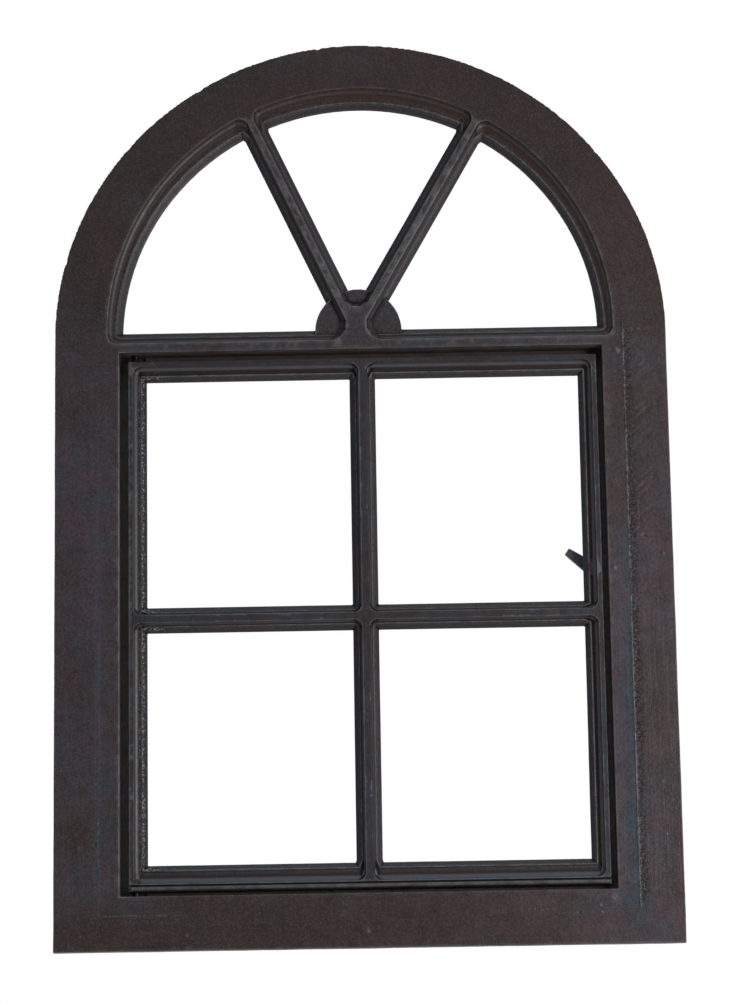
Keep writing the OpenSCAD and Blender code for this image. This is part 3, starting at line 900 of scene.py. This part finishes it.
def plain_floor(name):
    material, tree, shader = new_material(name)
    place = add(tree, "ShaderNodeTexCoord").outputs["Object"]
    low, high = FLOOR_TONES
    connect(tree, shader, {"Base Color": mixed(tree, cloud(tree, place, 1.3, 3.0), rgba(*low), rgba(*high))})
    shader.inputs["Roughness"].default_value = 0.75
    return material


# ---------------------------------------------------------------- pieces
class Casting:
    """One piece: the CAD node it stands for, its body and slot (the slot is not used), and what it is made with."""

    def __init__(self, name, node, body, slot, material, skin):
        self.name, self.node, self.body, self.slot = name, node, body, slot
        self.material, self.skin = material, skin


frame_paint = paint("frame_paint", 1.0)
sash_paint = paint("sash_paint", 0.72)
lever_paint = paint("lever_paint", 1.2)
pivot_steel = steel("pivot_steel", (0.012, 0.011, 0.010), (0.012, 0.007, 0.005))
screw_steel = steel("screw_steel", (0.16, 0.15, 0.145), (0.10, 0.042, 0.020))

FRAME_SKIN = Skin(0.8, 198000, frame_relief, (1, 0.3), frame_marks)
SASH_SKIN = Skin(0.8, 196000, sash_relief, (1, 0.3), sash_marks)
LEVER_SKIN = Skin(0.3, 16000, lever_relief, (4, 0.5), small_marks)
PIN_SKIN = Skin(0.25, 6000, turned_relief, (2, 0.5), small_marks)
SCREW_SKIN = Skin(0.16, 12000, turned_relief, (2, 0.5), small_marks)
WASHER_SKIN = Skin(0.16, 8000, turned_relief, (2, 0.5), small_marks)

PIECES = (
    Casting("frame_casting", "outer_frame", "frame", "frame_iron", frame_paint, FRAME_SKIN),
    Casting("sash_casting", "sash", "sash", "sash_iron", sash_paint, SASH_SKIN),
    Casting("lever_casting", "latch_lever", "latch", "latch_iron", lever_paint, LEVER_SKIN),
    Casting("upper_pin", "upper_pivot_pin", "sash", "pivot_steel", pivot_steel, PIN_SKIN),
    Casting("lower_pin", "lower_pivot_pin", "sash", "pivot_steel", pivot_steel, PIN_SKIN),
    Casting("pivot_screw", "latch_screw", "sash", "screw_steel", screw_steel, SCREW_SKIN),
    Casting("screw_washer", "latch_washer", "sash", "screw_steel", screw_steel, WASHER_SKIN),
)
for made in PIECES:
    piece = cast_skin(made.name, made.node, made.skin)
    here, normal = points_of(piece.data) / MM, points_of(piece.data, "normal")
    for mark, values in made.skin.marks(here, normal).items():
        attribute(piece.data, mark, values)
    piece.data.materials.clear()
    piece.data.materials.append(made.material)
    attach(piece, made.body)
    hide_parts(made.node)

# ---------------------------------------------------------------- floor, light, camera, m
FLOOR_Z = -0.47
FLOOR_SIDE = 40.0
CAMERA_PLACE = (0.02434, -3.1152, -0.3758)  # fitted to the edges in the photo, with the two below
CAMERA_TURN = (103.46114, 0.89367, 0.57406)  # degrees about x, y, z
CAMERA_LENS = 138.48  # mm


def square_floor():
    half = FLOOR_SIDE / 2
    corners = [(-half, -half), (half, -half), (half, half), (-half, half)]
    mesh = bpy.data.meshes.new("floor")
    mesh.from_pydata([(x, y, FLOOR_Z) for x, y in corners], [], [(0, 1, 2, 3)])
    mesh.materials.append(plain_floor("floor_matt"))
    return new_object("floor", mesh)


def studio_world():
    """White to the camera. As light it is a soft bluish dome, dim in front of the face, bright overhead."""
    world = bpy.data.worlds.new("studio")
    bpy.context.scene.world = world
    world.use_nodes = True
    tree = world.node_tree
    tree.nodes.clear()
    direction = add(tree, "ShaderNodeTexCoord").outputs["Generated"]

    def toward(axis):
        unit = tuple(Vector(axis).normalized())
        dot = add(tree, "ShaderNodeVectorMath", {0: direction, 1: unit}, operation="DOT_PRODUCT")
        return dot.outputs["Value"]

    dome = span(tree, toward((0.0, -1.0, 0.22)), 0.35, 0.95, 0.40, 0.22)
    sky = span(tree, toward((0.25, -0.35, 1.0)), 0.35, 0.95, 0.0, 0.8)
    light = calc(tree, "ADD", dome, sky)
    glow = add(tree, "ShaderNodeBackground", {"Color": rgba(*DOME_COLOUR), "Strength": light})
    white = add(tree, "ShaderNodeBackground", {"Color": rgba(1, 1, 1), "Strength": 1.0})
    seen = add(tree, "ShaderNodeLightPath").outputs["Is Camera Ray"]
    both = add(tree, "ShaderNodeMixShader", {0: seen, 1: glow.outputs[0], 2: white.outputs[0]})
    add(tree, "ShaderNodeOutputWorld", {"Surface": both.outputs[0]})


def soft_light(name, place, target, side, watts):
    data = bpy.data.lights.new(name, "AREA")
    data.shape = "SQUARE"
    data.size = side
    data.energy = watts
    data.color = LAMP_COLOUR
    obj = new_object(name, data)
    obj.location = place
    obj.rotation_mode = "QUATERNION"
    obj.rotation_quaternion = (Vector(target) - Vector(place)).to_track_quat("-Z", "Y")
    obj.visible_camera = False


def photo_camera():
    data = bpy.data.cameras.new("camera")
    data.lens = CAMERA_LENS
    data.sensor_width = 36.0
    data.clip_end = 60.0
    obj = new_object("camera", data)
    obj.location = CAMERA_PLACE
    obj.rotation_euler = [math.radians(a) for a in CAMERA_TURN]
    return obj


floor = square_floor()
studio_world()
soft_light("side", (0.95, -0.95, 0.28), (0.05, 0.0, 0.30), 0.5, 11.5)
soft_light("rear", (-0.9, 1.5, 0.9), (0.0, 0.0, 0.35), 1.2, 22)
bpy.context.scene.camera = photo_camera()
bpy.context.scene.view_settings.view_transform = "Standard"
bpy.context.scene.view_settings.look = "None"
